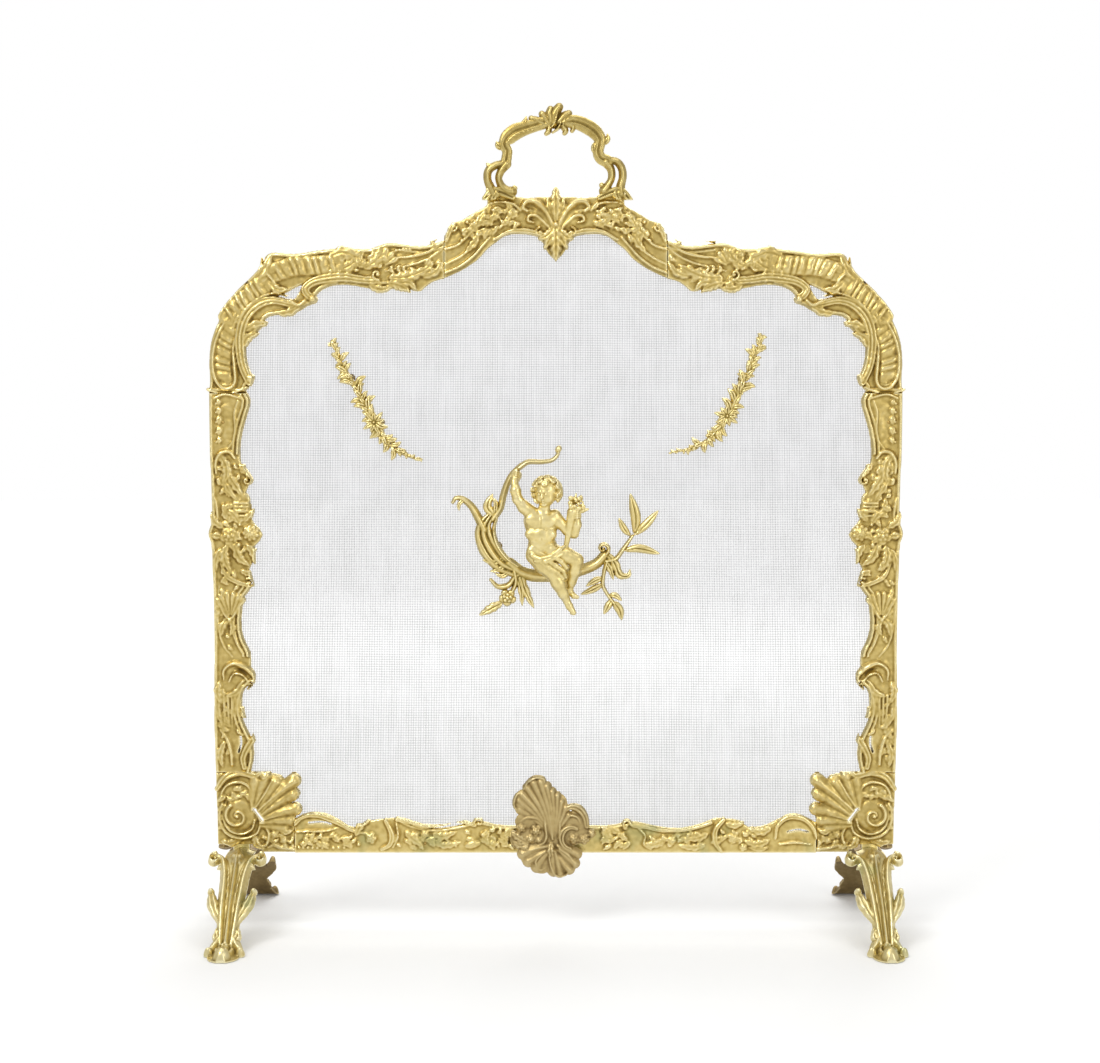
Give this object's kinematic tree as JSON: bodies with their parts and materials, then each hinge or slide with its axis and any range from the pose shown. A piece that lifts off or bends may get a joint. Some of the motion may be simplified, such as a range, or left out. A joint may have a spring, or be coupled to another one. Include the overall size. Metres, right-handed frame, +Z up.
{
  "type": "fireplace screen",
  "caption": "Free-standing fireplace screen: scrolled cast brass frame with a carrying handle, a fine wire-cloth panel with a seated putto and flower sprays, on scroll legs.",
  "frame": {"origin": "on the floor, below the middle of the screen's bounding box", "axes": "+X to the viewer's right across the screen, +Y away from the viewer towards the fire, +Z up"},
  "size_m": [0.662, 0.236, 0.7835],
  "materials": {
    "gilt_brass": "aged polished cast brass, dark in the hollows",
    "bright_brass": "brighter hand-polished cast brass",
    "dull_brass": "duller cast brass with tan patina",
    "leg_brass": "pale polished cast brass",
    "wire_cloth": "fine bright woven wire cloth",
    "strap_brass": "rolled brass strip, oxidised",
    "screw_brass": "turned brass, dull"
  },
  "bodies": {
    "root": {"bottom_palmette": "dull_brass", "bottom_rail": "dull_brass", "bottom_strap": "strap_brass", "bottom_strap_screw_1": "screw_brass", "bottom_strap_screw_2": "screw_brass", "bottom_strap_screw_3": "screw_brass", "bottom_strap_screw_4": "screw_brass", "branch_screw_1": "screw_brass", "branch_screw_2": "screw_brass", "carrying_handle": "gilt_brass", "cherub_branch": "bright_brass", "cherub_figure": "bright_brass", "cherub_screw": "screw_brass", "crest_rail": "gilt_brass", "crest_strap": "strap_brass", "crest_strap_screw_1": "screw_brass", "crest_strap_screw_2": "screw_brass", "front_left_leg": "leg_brass", "front_right_leg": "leg_brass", "handle_left_screw": "screw_brass", "handle_right_screw": "screw_brass", "left_corner": "gilt_brass", "left_leg_bolt_1": "screw_brass", "left_leg_bolt_2": "screw_brass", "left_shoulder_rail": "gilt_brass", "left_shoulder_strap": "strap_brass", "left_shoulder_strap_screw_1": "screw_brass", "left_shoulder_strap_screw_2": "screw_brass", "left_shoulder_strap_screw_3": "screw_brass", "left_shoulder_strap_screw_4": "screw_brass", "left_side_strap": "strap_brass", "left_side_strap_screw_1": "screw_brass", "left_side_strap_screw_2": "screw_brass", "left_side_strap_screw_3": "screw_brass", "left_spray": "bright_brass", "left_spray_screw_1": "screw_brass", "left_spray_screw_2": "screw_brass", "left_upright": "gilt_brass", "palmette_screw": "screw_brass", "rear_left_leg": "leg_brass", "rear_right_leg": "leg_brass", "right_corner": "gilt_brass", "right_leg_bolt_1": "screw_brass", "right_leg_bolt_2": "screw_brass", "right_shoulder_rail": "gilt_brass", "right_shoulder_strap": "strap_brass", "right_shoulder_strap_screw_1": "screw_brass", "right_shoulder_strap_screw_2": "screw_brass", "right_shoulder_strap_screw_3": "screw_brass", "right_shoulder_strap_screw_4": "screw_brass", "right_side_strap": "strap_brass", "right_side_strap_screw_1": "screw_brass", "right_side_strap_screw_2": "screw_brass", "right_side_strap_screw_3": "screw_brass", "right_spray": "bright_brass", "right_spray_screw_1": "screw_brass", "right_spray_screw_2": "screw_brass", "right_upright": "gilt_brass", "wire_cloth_panel": "wire_cloth"}
  },
  "joints": []
}
